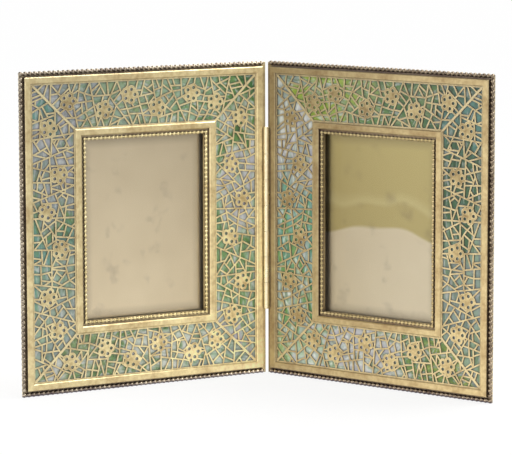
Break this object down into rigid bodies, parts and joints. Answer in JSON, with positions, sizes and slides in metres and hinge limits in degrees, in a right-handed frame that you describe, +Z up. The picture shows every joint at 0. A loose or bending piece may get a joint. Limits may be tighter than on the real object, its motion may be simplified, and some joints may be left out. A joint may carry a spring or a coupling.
{
  "type": "hinged double photo frame",
  "caption": "Free-standing brass double picture frame: hinged leaves with beaded borders, pierced lattice over marbled glass, and slide-out backs",
  "frame": {"origin": "on the table, in the middle of the box around the open frame", "axes": "+Z up; -Y is the front, where a viewer stands; +X to the viewer's right along the open frame"},
  "size_m": [0.3448, 0.12, 0.24],
  "materials": {
    "cast_brass": "satin gilt, darker in the recesses",
    "beaded_brass": "satin gilt, dark between the beads",
    "pierced_brass": "satin gilt, aged",
    "sheet_brass": "brushed, aged",
    "polished_brass": "pale polished, faint stains",
    "hinge_brass": "worn bright on the barrel",
    "screw_brass": "dull, aged",
    "marbled_glass": "opal glass marbled green, teal, grey and white",
    "clear_glass": "clear, polished"
  },
  "bodies": {
    "left_leaf": {"left_back_plate": "sheet_brass", "left_back_screws": "screw_brass", "left_bottom_art_glass": "marbled_glass", "left_bottom_border_pearls": "beaded_brass", "left_bottom_lattice": "pierced_brass", "left_face_frame": "cast_brass", "left_foot_rail": "sheet_brass", "left_glass_clips": "sheet_brass", "left_hinge_leaf": "hinge_brass", "left_hinge_rivets": "hinge_brass", "left_hinge_side_art_glass": "marbled_glass", "left_hinge_side_lattice": "pierced_brass", "left_hinge_side_rail": "sheet_brass", "left_inner_band": "cast_brass", "left_outer_side_art_glass": "marbled_glass", "left_outer_side_border_pearls": "beaded_brass", "left_outer_side_lattice": "pierced_brass", "left_outer_side_rail": "sheet_brass", "left_picture_glass": "clear_glass", "left_sight_pearls": "beaded_brass", "left_top_art_glass": "marbled_glass", "left_top_border_pearls": "beaded_brass", "left_top_lattice": "pierced_brass", "hinge_pin": "hinge_brass"},
    "right_leaf": {"right_back_plate": "sheet_brass", "right_back_screws": "screw_brass", "right_bottom_art_glass": "marbled_glass", "right_bottom_border_pearls": "beaded_brass", "right_bottom_lattice": "pierced_brass", "right_face_frame": "cast_brass", "right_foot_rail": "sheet_brass", "right_glass_clips": "sheet_brass", "right_hinge_leaf": "hinge_brass", "right_hinge_rivets": "hinge_brass", "right_hinge_side_art_glass": "marbled_glass", "right_hinge_side_lattice": "pierced_brass", "right_hinge_side_rail": "sheet_brass", "right_inner_band": "cast_brass", "right_outer_side_art_glass": "marbled_glass", "right_outer_side_border_pearls": "beaded_brass", "right_outer_side_lattice": "pierced_brass", "right_outer_side_rail": "sheet_brass", "right_picture_glass": "clear_glass", "right_sight_pearls": "beaded_brass", "right_top_art_glass": "marbled_glass", "right_top_border_pearls": "beaded_brass", "right_top_lattice": "pierced_brass"},
    "left_picture_back_body": {"left_picture_back": "polished_brass"},
    "right_picture_back_body": {"right_picture_back": "polished_brass"}
  },
  "joints": [
    {"name": "leaf_hinge", "type": "hinge", "parent": "left_leaf", "child": "right_leaf", "pos_m": [0, 0.05144, 0.12], "axis": [0, 0, 1], "range_deg": [-112, 14]},
    {"name": "left_picture_back_slide", "type": "slide", "parent": "left_leaf", "child": "left_picture_back_body", "axis": [0, 0, 1], "range_m": [0, 0.14]},
    {"name": "right_picture_back_slide", "type": "slide", "parent": "right_leaf", "child": "right_picture_back_body", "axis": [0, 0, 1], "range_m": [0, 0.14]}
  ]
}
